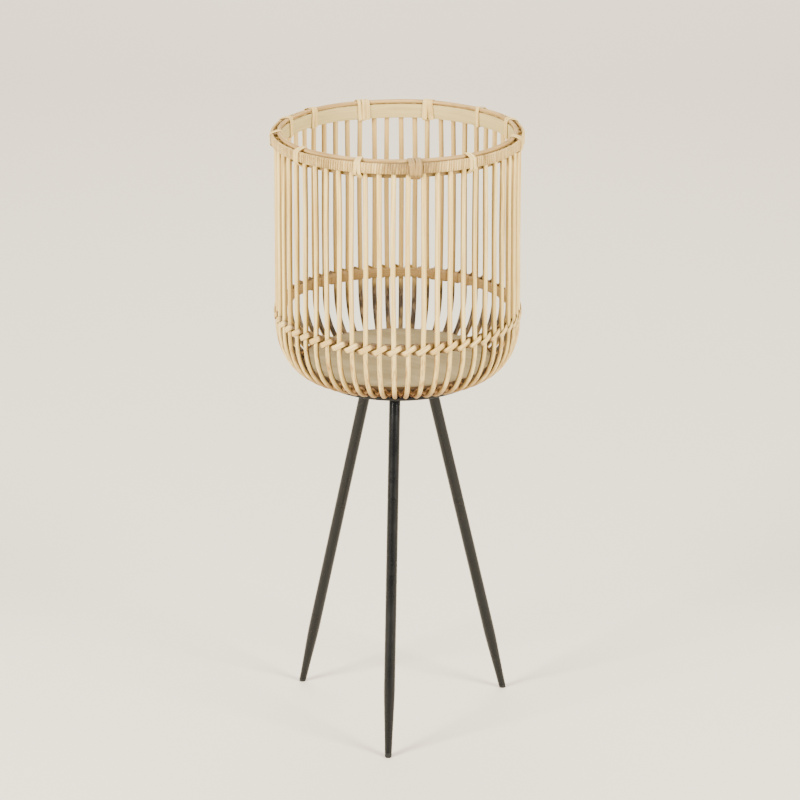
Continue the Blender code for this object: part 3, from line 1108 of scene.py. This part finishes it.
def one_turn(
    path: np.ndarray, sides: np.ndarray, section: np.ndarray, step_deg: float
) -> Mesh:
    """Strip over one turn of a winding, whose last ring is its first, turned by one step.

    Args:
        path: Points in metres over one turn.
        sides: Outward side at each point.
        section: Corners of the section as (outward, across) in metres.
        step_deg: Angle about the Z axis from one turn to the next.

    Returns:
        An open tube, for turns_recipe to repeat and join.
    """
    turn = math.radians(step_deg)
    spin = np.array((
        (math.cos(turn), -math.sin(turn), 0.0), (math.sin(turn), math.cos(turn), 0.0),
        (0.0, 0.0, 1.0),
    ))
    ahead = np.vstack([path[1:], spin @ path[1]])
    behind = np.vstack([spin.T @ path[-2], path[:-1]])
    points, grain = carry(path, unit(ahead - behind), sides, section)
    faces = grid_faces(len(path), len(section), False, False)
    return new_mesh("one_turn", points, faces, grain=grain)


class Binding(Enum):
    """How a rim lashing is wound: its number of turns side by side."""

    SINGLE = 1
    PAIR = 2
    TRIPLE = 3
    JOINT = 4


@dataclass
class RimLashings:
    """Peel straps that tie the rim cane, the band and the hoop. Sizes in millimetres."""

    loop: tuple[tuple[float, float], ...] = (
        (134.9, 717.4), (134.9, 726.5), (135.0, 735.6), (136.3, 740.1), (138.8, 741.2),
        (142.0, 740.6), (146.5, 739.3), (149.7, 737.0), (149.9, 731.0), (149.6, 725.2),
        (147.6, 723.0), (144.0, 720.6), (139.6, 717.3), (137.0, 716.8),
    )
    centre: tuple[float, float] = (142.0, 730.0)
    wound: tuple[tuple[str, float, Binding, float], ...] = (
        # CAD node, angle from the front, turns, width over all of them
        ("rim_joint_wrap", 7.9, Binding.JOINT, 13.6),
        ("rim_lashing_01", 35.2, Binding.PAIR, 9.0),
        ("rim_lashing_02", 75.2, Binding.PAIR, 9.4),
        ("rim_lashing_03", 108.5, Binding.PAIR, 9.0),
        ("rim_lashing_04", 135.2, Binding.SINGLE, 5.6),
        ("rim_lashing_05", 164.4, Binding.PAIR, 13.6),
        ("rim_lashing_06", 197.6, Binding.TRIPLE, 15.2),
        ("rim_lashing_07", 227.2, Binding.PAIR, 9.6),
        ("rim_lashing_08", 248.5, Binding.PAIR, 9.0),
        ("rim_lashing_09", 275.2, Binding.PAIR, 9.4),
        ("rim_lashing_10", 308.5, Binding.PAIR, 9.4),
        ("rim_lashing_11", 341.9, Binding.PAIR, 9.4),
    )
    thickness: float = 0.6
    crown: float = 0.3
    cover: float = 0.95
    joint_crown: float = 0.1
    joint_cover: float = 1.12
    slant: float = 1.1
    half_height: float = 11.0
    crossing: float = 0.72
    overlap: float = 0.15
    seed: int = 3

    def strap(
        self, angle_deg: float, binding: Binding, width: float, rng: np.random.Generator
    ) -> Sweep:
        """Path of one lashing, wound side by side from a hidden start under the rim.

        Args:
            angle_deg: Angle of its middle from the front.
            binding: Number of turns.
            width: Width over all its turns.
            rng: Source of its slants.

        Returns:
            The sweep.
        """
        loop = smooth_path(np.array(self.loop), 4, closed=True)
        count = len(loop)
        pitch = width / binding.value
        slants = rng.uniform(-self.slant, self.slant, binding.value + 1)
        path, sides = [], []
        for i in range(count * binding.value + 1):
            turn_index, step = divmod(i, count)
            radius, height = loop[step]
            cross = max(0.0, step / count - self.crossing) / (1.0 - self.crossing)
            across = pitch * (turn_index + cross - (binding.value - 1) / 2)
            across = min(across, (width - pitch) / 2)
            lean = (height - self.centre[1]) / self.half_height
            across += slants[turn_index] * lean * (1.0 - cross)
            lift = self.overlap * turn_index
            away = unit(np.array((radius, height)) - np.array(self.centre))
            turn = angle_deg + math.degrees(across / radius)
            path.append(polar(radius + away[0] * lift, turn, height + away[1] * lift))
            sides.append(unit(outward(turn) * away[0] + UP * away[1]))
        joined = binding is Binding.JOINT
        crown = self.joint_crown if joined else self.crown
        cover = self.joint_cover if joined else self.cover
        section = strip_section(pitch * cover, self.thickness, crown)
        return Sweep(np.array(path), np.array(sides), section)

    def build(self, finishes: Finishes) -> None:
        """Make every lashing as a piece of its own."""
        rng = np.random.default_rng(self.seed)
        for node, angle_deg, binding, width in self.wound:
            joint = node == "rim_joint_wrap"
            strap = self.strap(angle_deg, binding, width, rng)
            name = node.replace("wrap", "strap").replace("lashing", "strap")
            material = finishes.joint if joint else finishes.tie
            piece = strap.piece(name, material, float(rng.uniform(0.1, 0.9)))
            fit(piece, BASKET, "brown_joint_peel" if joint else "binding_peel", node)


@dataclass
class MiddleLacing:
    """One peel strip wound round the middle hoop and each upright. Sizes in millimetres."""

    stitch: tuple[tuple[float, float, float, float, float], ...] = (
        # share of a pitch, radius, height, outward part and upward part of its face
        (-0.52, 145.0, 513.7, 1.0, 0.0),
        (-0.3, 147.0, 515.4, 1.0, 0.0),
        (0.0, 147.3, 518.4, 1.0, 0.0),
        (0.3, 147.0, 521.4, 1.0, 0.0),
        (0.5, 145.0, 522.9, 1.0, 0.0),
        (0.54, 142.4, 523.0, 0.7, 0.5),
        (0.5, 139.2, 524.0, 0.0, 1.0),
        (0.5, 136.2, 523.4, -0.8, 0.6),
        (0.5, 135.6, 517.5, -1.0, 0.0),
        (0.5, 136.2, 511.6, -0.8, -0.6),
        (0.48, 139.2, 510.9, 0.0, -1.0),
        (0.45, 142.4, 512.6, 0.7, -0.6),
    )
    width: float = 6.4
    thickness: float = 0.6
    crown: float = 0.3
    tilt: float = 5.0
    seed: int = 9

    def build(self, recipe: GeometryRecipe, finishes: Finishes) -> None:
        """Make one stitch, repeat it round the hoop and join the turns."""
        rows = np.array(self.stitch)
        wrapped = np.vstack([rows, rows[:2] + np.array((1.0, 0.0, 0.0, 0.0, 0.0))])
        before = rows[-1:] - np.array((1.0, 0.0, 0.0, 0.0, 0.0))
        curve = smooth_path(np.vstack([before, wrapped]), 2, closed=False)[2:-2]
        path, sides = [], []
        for share, radius, height, out, up in curve:
            angle_deg = share * PITCH_DEG
            path.append(polar(radius, angle_deg, height))
            sides.append(unit(outward(angle_deg) * out + UP * up))
        section = strip_section(self.width, self.thickness, self.crown)
        stitch = one_turn(np.array(path), np.array(sides), section, PITCH_DEG)
        piece = recipe.run("middle_lacing", stitch, {
            "Turns": UPRIGHTS,
            "Step Angle": math.radians(PITCH_DEG),
            "First Angle": math.radians(PHASE_DEG),
            "Unevenness": 0.0016,
            "Tilt": self.tilt * MM,
            "Seed": self.seed,
            "Finish": finishes.lacing,
        })
        face_outward(piece.data)
        fit(piece, BASKET, "binding_peel", "mid_lashing")


@dataclass
class BaseWeave:
    """Rows of smoked cane over the inner side of the uprights, pressed down between them.

    Sizes in millimetres.
    """

    bend: Bend
    rows: tuple[tuple[str, float], ...] = (("lower", 446.5), ("upper", 451.5))
    offset: float = 4.85
    radius: float = 1.75
    steps: int = 10
    flatness: float = 0.6

    def row_path(self, height: float) -> np.ndarray:
        """Closed centre line of one row in metres."""
        radius, inward = self.bend.at_height(height)
        points = []
        for index in range(UPRIGHTS * self.steps):
            phase = index / self.steps
            wave = (0.5 + 0.5 * math.cos(2.0 * math.pi * phase)) ** self.flatness
            push = self.offset * wave
            angle_deg = PHASE_DEG + phase * PITCH_DEG
            points.append(polar(radius + inward[0] * push, angle_deg, height + inward[1] * push))
        return np.array(points)

    def build(self, recipe: GeometryRecipe, finishes: Finishes) -> None:
        """Make each row as a piece of its own."""
        for row, (label, height) in enumerate(self.rows):
            path = self.row_path(height)
            name = f"base_weave_row_{label}"
            piece = recipe.run(name, path_mesh(f"{name}_path", path, True), {
                "Radius": self.radius * MM, "Sides": 10, "Unevenness": 0.08,
                "Seed": 40.0 + row, "Tone": float(row), "Finish": finishes.weave,
            })
            fit(piece, BASKET, "dark_weaving_cane", f"base_weave_{label}")


def stacked(
    name: str, rings: Sequence[np.ndarray], material: Material,
    closed: bool = False, flat_deg: float = 45.0,
) -> Object:
    """Solid over rings of points, each with the same number of corners.

    Args:
        name: The piece's name.
        rings: Points of each ring in metres.
        material: Its material.
        closed: Whether the last ring joins the first. If not, the ends are capped.
        flat_deg: Edges that turn more than this stay sharp.

    Returns:
        The piece.
    """
    faces = grid_faces(len(rings), len(rings[0]), closed, not closed)
    return make_piece(name, np.vstack(rings), faces, material, flat_deg=flat_deg)


def round_steps(steps: int) -> np.ndarray:
    """Angles in radians of evenly spaced corners round a full turn."""
    return np.arange(steps) * 2 * math.pi / steps


def turned(
    name: str, profile: Sequence[tuple[float, float]], material: Material,
    steps: int = 192, flat_deg: float = 35.0,
) -> Object:
    """Solid of revolution about the Z axis.

    Args:
        name: The piece's name.
        profile: Edge from bottom to top as (radius, height) in millimetres.
        material: Its material.
        steps: Corners round the axis.
        flat_deg: Edges that turn more than this stay sharp.

    Returns:
        The piece, closed at both ends.
    """
    rings = [[polar(r, 360.0 * i / steps, z) for i in range(steps)] for r, z in profile]
    return stacked(name, np.array(rings), material, flat_deg=flat_deg)


@dataclass
class Floor:
    """Board inside the basket. Sizes come from its CAD node."""

    lower_radius: float = 97.0
    step_height: float = 454.5
    edge: float = 0.9

    def build(self, finishes: Finishes) -> None:
        """Make the stepped board with softened edges."""
        low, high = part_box("base_board")
        radius, base, top = high.x / MM, low.z / MM, high.z / MM
        level, edge = self.step_height, self.edge
        profile = [
            (self.lower_radius, base), (self.lower_radius, level), (radius - 0.4, level),
            (radius, level + 0.4), (radius, top - edge), (radius - 0.3 * edge, top - 0.3 * edge),
            (radius - edge, top),
        ]
        piece = turned("floor_board", profile, finishes.board)
        fit(piece, BASKET, "plywood", "base_board")


# ----------------------------------------------------------------- stand


@dataclass
class Leg:
    """Tapered steel leg with a threaded stud and a nylon glide. Sizes in millimetres."""

    side: str
    angle_deg: float
    finishes: Finishes
    top_radius: float = 40.2
    foot_radius: float = 146.0
    plate_height: float = 433.8
    radius: float = 6.7
    tip_radius: float = 4.3
    taper: float = 74.0
    hollow: float = 0.25
    glide_length: float = 5.0
    socket_length: float = 13.0
    socket_radius: float = 8.0
    bore_radius: float = 4.4
    stud_length: float = 10.5
    root_radius: float = 3.2
    thread_depth: float = 0.65
    thread_pitch: float = 1.25
    bead: tuple[float, float] = (1.3, 1.5)
    ripples: int = 24
    ripple_depth: float = 0.14
    gap: float = 0.35

    def __post_init__(self) -> None:
        """Work out the leg's axis and its two cross directions."""
        self.start = polar(self.top_radius, self.angle_deg, self.plate_height)
        foot = polar(self.foot_radius, self.angle_deg, 0.0)
        self.axis = unit(foot - self.start)
        away = outward(self.angle_deg)
        self.across = unit(away - self.axis * np.dot(away, self.axis))
        self.other = np.cross(self.axis, self.across)
        self.length = float(np.linalg.norm(foot - self.start)) / MM

    def ring(self, radius: float | np.ndarray, along: float, steps: int) -> np.ndarray:
        """Ring of points about the leg's axis, below the plate by a distance along it."""
        turns = round_steps(steps)
        centre = self.start + self.axis * along * MM
        spokes = np.outer(np.cos(turns), self.across) + np.outer(np.sin(turns), self.other)
        return centre + spokes * np.reshape(radius, (-1, 1)) * MM

    def level_ring(self, radius: float, height: float, steps: int) -> np.ndarray:
        """Ring about the leg's axis, cut level at a height above the floor."""
        ring = self.ring(radius, 0.0, steps)
        return ring + ((height * MM - ring[:, 2]) / self.axis[2])[:, None] * self.axis

    def tube(self) -> Object:
        """Tapered tube with a rounded shoulder and a spun-in tip."""
        wide = self.radius
        top = self.socket_length + self.gap
        tip = self.length - self.glide_length
        profile = [
            (wide - 1.6, top), (wide - 0.5, top), (wide - 0.12, top + 0.35), (wide, top + 0.9),
        ]
        straight = np.linspace(top + 30.0, tip - self.taper - 14.0, 8)
        profile += [(wide, along) for along in straight]
        for share in np.linspace(0.0, 1.0, 14):
            ease = share * share * (3 - 2 * share) * self.hollow + share * (1.0 - self.hollow)
            radius = wide + (self.tip_radius - wide) * ease
            profile.append((radius, tip - self.taper * (1.0 - share)))
        profile.append((self.tip_radius - 0.5, tip + 0.12))
        rings = [self.ring(radius, along, 40) for radius, along in profile]
        return stacked(f"leg_tube_{self.side}", rings, self.finishes.steel)

    def stud(self) -> Object:
        """Stud with a cut helical thread that runs out at its end."""
        steps, per_turn, lead = 24, 8, 0.4
        top = self.socket_length + self.gap - self.stud_length
        count = int(self.stud_length / self.thread_pitch * per_turn)
        rings = [self.ring(self.root_radius - 0.6, top, steps)]
        for i in range(count + 1):
            along = top + lead + (self.stud_length - lead) * i / count
            phase = (along / self.thread_pitch - np.arange(steps) / steps) % 1.0
            ridge = 1.0 - np.abs(phase * 2.0 - 1.0)
            fade = min(1.0, i / per_turn)
            radius = self.root_radius + self.thread_depth * ridge * fade
            rings.append(self.ring(radius, along, steps))
        rings.append(self.ring(self.root_radius, self.socket_length + self.gap + 0.3, steps))
        return stacked(f"leg_stud_{self.side}", rings, self.finishes.zinc, flat_deg=80.0)

    def glide(self) -> Object:
        """Nylon tip that closes the tube and stands flat on the floor."""
        steps = 32
        tip = self.length - self.glide_length
        wide = self.tip_radius
        inner = ((wide - 0.6, tip + 0.22), (wide - 0.08, tip + 0.36), (wide, tip + 1.0))
        rings = [self.ring(radius, along, steps) for radius, along in inner]
        for narrower, height in ((0.1, 1.4), (0.35, 0.6), (0.75, 0.16), (1.3, 0.0)):
            rings.append(self.level_ring(wide - narrower, height, steps))
        return stacked(f"leg_glide_{self.side}", rings, self.finishes.nylon)

    def socket(self) -> Object:
        """Bored socket, cut to the plate's angle, with a chamfered mouth."""
        steps = 40
        low, wide, bore = self.socket_length, self.socket_radius, self.bore_radius
        level = self.plate_height - 0.1
        rings = [
            self.ring(wide - 0.5, low, steps), self.ring(wide, low - 0.5, steps),
            self.level_ring(wide, level, steps), self.level_ring(bore, level, steps),
            self.ring(bore, low - 0.7, steps), self.ring(bore + 0.6, low, steps),
        ]
        return stacked(f"leg_socket_{self.side}", rings, self.finishes.steel, closed=True)

    def weld(self) -> Object:
        """Rippled weld bead where the socket meets the plate."""
        steps, corners = 96, 8
        path = self.level_ring(self.socket_radius + 0.2, self.plate_height - 0.7, steps)
        sides = unit(path - path.mean(axis=0) - UP * 0.004)
        turns = round_steps(corners)
        section = np.column_stack((np.cos(turns), np.sin(turns))) * self.bead * MM
        points, _ = Sweep(path, sides, section, closed=True).rings()
        ripple = 1.0 + self.ripple_depth * np.sin(round_steps(steps) * self.ripples)
        points = points.reshape(steps, corners, 3)
        points = path[:, None, :] + (points - path[:, None, :]) * ripple[:, None, None]
        points[..., 2] = np.minimum(points[..., 2], (self.plate_height - 0.02) * MM)
        name = f"leg_weld_{self.side}"
        return stacked(name, points, self.finishes.steel, closed=True, flat_deg=80.0)

    def build(self) -> None:
        """Make and fit every piece of this leg."""
        body = f"leg_{self.side}_unit"
        fit(self.tube(), body, "powder_coated_steel", f"leg_{self.side}")
        fit(self.stud(), body, "powder_coated_steel")
        fit(self.glide(), body, "black_nylon", f"glide_{self.side}")
        fit(self.socket(), BASKET, "welded_socket_steel", f"leg_socket_{self.side}")
        fit(self.weld(), BASKET, "welded_socket_steel")


@dataclass
class Stand:
    """Steel plate, its screws and its three legs. Sizes in millimetres."""

    finishes: Finishes
    leg_angles: tuple[tuple[str, float], ...] = (
        ("front", -4.47), ("right", 115.53), ("left", 235.53),
    )
    screws: int = 3
    screw_top: float = 433.7
    recess: float = 0.72
    edge: float = 1.1

    def plate(self) -> None:
        """Round plate with softened edges."""
        low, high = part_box("stand_plate")
        edge = self.edge
        radius = high.x / MM - edge
        profile = []
        for level, first_deg in ((low.z / MM + edge, -90), (high.z / MM - edge, 0)):
            for turn in np.radians((first_deg, first_deg + 30, first_deg + 60, first_deg + 90)):
                profile.append((radius + edge * math.cos(turn), level + edge * math.sin(turn)))
        piece = turned("steel_plate", profile, self.finishes.steel)
        fit(piece, BASKET, "powder_coated_steel", "stand_plate")

    def screw(self, number: int) -> None:
        """Pan-head screw with a cross recess, seen under the plate."""
        node = f"base_screw_{number}"
        low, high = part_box(node)
        centre = (low + high) / 2
        top, base = self.screw_top, low.z / MM
        turns = round_steps(32)
        cross = np.maximum(np.abs(np.cos(2 * turns)) - self.recess, 0.0) / (1.0 - self.recess)
        floor, even = 0.45 + 0.55 * cross, np.ones(len(turns))
        rings = []
        for radius, height, shape in (
            (1.2, base + 0.75, floor), (1.9, base + 0.02, even), (2.9, base + 0.25, even),
            (3.6, base + 0.8, even), (4.0, base + 1.7, even), (4.0, top - 0.05, even),
            (3.8, top, even),
        ):
            reach = radius * shape * MM
            rings.append(np.column_stack((
                centre.x + np.cos(turns) * reach, centre.y + np.sin(turns) * reach,
                even * height * MM,
            )))
        piece = stacked(f"pan_head_screw_{number}", rings, self.finishes.zinc)
        fit(piece, BASKET, "zinc_plated_screw", node)

    def build(self) -> None:
        """Make the plate, the screws and the legs."""
        self.plate()
        for number in range(1, self.screws + 1):
            self.screw(number)
        for side, angle_deg in self.leg_angles:
            Leg(side, angle_deg, self.finishes).build()


@dataclass
class Basket:
    """Everything above the plate. Sizes in millimetres."""

    bend: Bend = field(default_factory=Bend)
    rim_cane: float = 2.45

    def build(self, finishes: Finishes) -> None:
        """Make the uprights, hoops, lashings, weave and board."""
        cane = cane_recipe()
        winding = turns_recipe()
        Uprights(self.bend).build(cane, finishes)
        Hoop("inner_band", "rim_band", "split_cane_band", 137.3, 726.6,
             soft_rectangle(2.7, 17.0, 0.9)).build(finishes.band)
        Hoop("middle_hoop", "mid_hoop", "toasted_cane", 137.6, 517.5,
             soft_rectangle(3.3, 11.4, 1.1), lobes=5, tilt=5.0).build(finishes.toasted)
        turns_round = round_steps(12)
        circle = np.column_stack((np.cos(turns_round), np.sin(turns_round)))
        round_cane = circle * self.rim_cane * MM
        Hoop("top_cane", "rim_cane", "rim_cane", 139.0, 738.1, round_cane).build(finishes.rim)
        HoopWrapping().build(winding, finishes)
        RimLashings().build(finishes)
        MiddleLacing().build(winding, finishes)
        BaseWeave(self.bend).build(cane, finishes)
        Floor().build(finishes)


# ---------------------------------------------------------------- studio


@dataclass
class Studio:
    """Paper sweep, three soft lights and the camera."""

    camera_place: tuple[float, float, float] = (0.0028, -3.9799, 1.7794)
    tilt_deg: float = 19.07
    lens: float = 157.5
    sensor: float = 36.0
    half_width: float = 6.0
    front: float = -6.0
    back: float = 3.2
    bend: float = 1.6
    wall: float = 6.0
    air_colour: str = "f4f0e8"
    air_strength: float = 0.86
    key_aim: tuple[float, float, float] = (0.0, 0.0, 0.5)
    key_colour: str = "fff8ec"

    def sweep(self) -> None:
        """Floor that curves up into a backdrop."""
        profile = [(self.front, 0.0), (self.back, 0.0)]
        for turn_deg in range(6, 91, 6):
            turn = math.radians(turn_deg)
            depth, height = self.bend * math.sin(turn), self.bend * (1 - math.cos(turn))
            profile.append((self.back + depth, height))
        profile.append((self.back + self.bend, self.wall))
        points = [(x, y, z) for y, z in profile for x in (-self.half_width, self.half_width)]
        faces = [(i, i + 1, i + 3, i + 2) for i in range(0, len(points) - 2, 2)]
        mesh = new_mesh("paper_sweep", points, faces)
        mesh.polygons.foreach_set("use_smooth", [True] * len(mesh.polygons))
        mesh.materials.append(StudioPaper().build())
        place_object("paper_sweep", mesh)

    def light(self, name: str, place: Sequence[float], aim: Sequence[float], size: float,
              power: float, hex_colour: str) -> None:
        """Square area light.

        Args:
            name: The light's name.
            place: Its position in metres.
            aim: The point that it looks at.
            size: Side in metres.
            power: Power in watts.
            hex_colour: Its sRGB colour.
        """
        data = bpy.data.lights.new(name, "AREA")
        data.shape = "SQUARE"
        data.size = size
        data.energy = power
        data.color = linear(hex_colour)[:3]
        lamp = place_object(name, data)
        lamp.location = place
        way = Vector(aim) - Vector(place)
        lamp.rotation_euler = way.to_track_quat("-Z", "Y").to_euler()

    def world(self) -> None:
        """Even pale surroundings."""
        world = bpy.data.worlds.new("studio_air")
        world.use_nodes = True
        ground = world.node_tree.nodes["Background"]
        ground.inputs["Color"].default_value = linear(self.air_colour)
        ground.inputs["Strength"].default_value = self.air_strength
        bpy.context.scene.world = world

    def camera(self) -> None:
        """Camera at the studio's eye height, tilted down to the basket."""
        data = bpy.data.cameras.new("studio_camera")
        data.lens = self.lens
        data.sensor_width = self.sensor
        data.clip_end = 100.0
        eye = place_object("studio_camera", data)
        eye.location = self.camera_place
        eye.rotation_euler = (math.radians(90.0 - self.tilt_deg), 0.0, 0.0)
        bpy.context.scene.camera = eye

    def build(self) -> None:
        """Set the studio."""
        self.sweep()
        self.world()
        self.light("key_left", (-2.6, -2.1, 2.1), self.key_aim, 1.2, 352.0, self.key_colour)
        self.light("key_right", (2.6, -2.1, 2.1), self.key_aim, 1.2, 298.0, self.key_colour)
        self.light("overhead", (0.0, 2.2, 3.4), (0.0, 3.0, 0.0), 2.4, 150.0, "fffaf2")
        self.camera()


def main() -> None:
    """Build the studio, the stand and the basket."""
    logging.basicConfig(level=logging.INFO, format="%(name)s %(message)s")
    Studio().build()
    finishes = Finishes()
    Stand(finishes).build()
    Basket().build(finishes)


if __name__ == "__main__":
    main()
